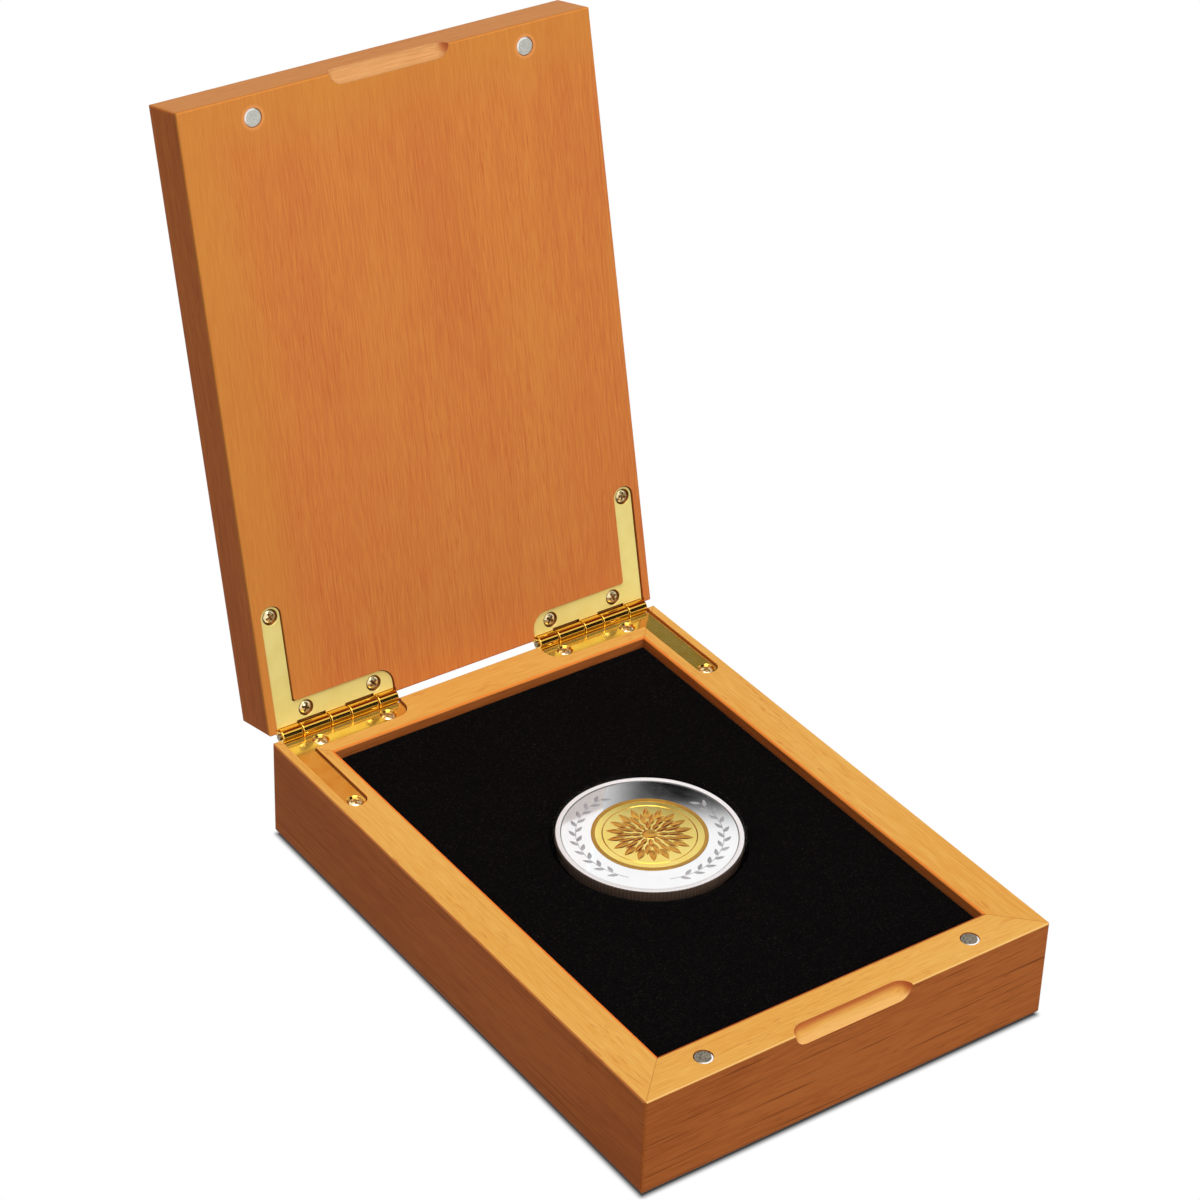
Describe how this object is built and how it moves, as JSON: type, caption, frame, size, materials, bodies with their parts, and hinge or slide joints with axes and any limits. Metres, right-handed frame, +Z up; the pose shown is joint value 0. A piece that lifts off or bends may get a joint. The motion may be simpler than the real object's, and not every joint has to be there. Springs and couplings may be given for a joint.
{
  "type": "coin case",
  "caption": "Hinged wooden presentation case, standing open, with a mitred base, velvet tray, brass side hinges, magnet catches and an encapsulated two-metal coin.",
  "frame": {"origin": "middle of the underside of the base, on the surface that the case stands on", "axes": "+X to the right seen from the front, +Y from the finger cove towards the hinges, +Z up"},
  "size_m": [0.1, 0.1816, 0.1581],
  "materials": {
    "base_wood": "satin lacquer over honey stain",
    "panel_wood": "satin lacquer",
    "board": "raw fibreboard",
    "lid_wood": "satin lacquer over honey stain",
    "lid_veneer": "satin lacquer over honey stain",
    "velvet": "short black pile",
    "nickel": "nickel plate",
    "brass": "polished",
    "screw_brass": "bright plate",
    "pin_steel": "plain",
    "clear_acrylic": "polished clear",
    "silver": "proof mirror with frosted relief",
    "gold": "proof mirror with frosted relief"
  },
  "bodies": {
    "base": {"base_front_rail": "base_wood", "base_back_rail": "base_wood", "base_left_rail": "base_wood", "base_right_rail": "base_wood", "base_bottom_panel": "panel_wood", "insert_block": "board", "insert_velvet": "velvet", "base_magnet_left": "nickel", "base_magnet_right": "nickel", "hinge_left_base_leaf": "brass", "hinge_right_base_leaf": "brass", "hinge_left_pin": "pin_steel", "hinge_right_pin": "pin_steel", "hinge_left_base_screws": "screw_brass", "hinge_right_base_screws": "screw_brass"},
    "lid": {"lid_front_rail": "lid_wood", "lid_back_rail": "lid_wood", "lid_left_rail": "lid_wood", "lid_right_rail": "lid_wood", "lid_core_board": "board", "lid_inner_veneer": "lid_veneer", "lid_outer_veneer": "lid_veneer", "lid_magnet_left": "nickel", "lid_magnet_right": "nickel", "hinge_left_lid_leaf": "brass", "hinge_right_lid_leaf": "brass", "hinge_left_lid_screws": "screw_brass", "hinge_right_lid_screws": "screw_brass"},
    "capsule_bottom": {"capsule_base": "clear_acrylic"},
    "coin": {"coin_ring": "silver", "coin_core": "gold"},
    "capsule_top": {"capsule_cover": "clear_acrylic"}
  },
  "joints": [
    {"name": "lid_hinge", "type": "hinge", "parent": "base", "child": "lid", "pos_m": [0, 0.0692, 0.0242], "axis": [-1, 0, 0], "range_deg": [-103.2, 0]},
    {"name": "capsule_lift", "type": "slide", "parent": "base", "child": "capsule_bottom", "axis": [0, 0, 1], "range_m": [0, 0.06]},
    {"name": "coin_lift", "type": "slide", "parent": "capsule_bottom", "child": "coin", "axis": [0, 0, 1], "range_m": [0, 0.04]},
    {"name": "cover_lift", "type": "slide", "parent": "coin", "child": "capsule_top", "axis": [0, 0, 1], "range_m": [0, 0.04]}
  ]
}
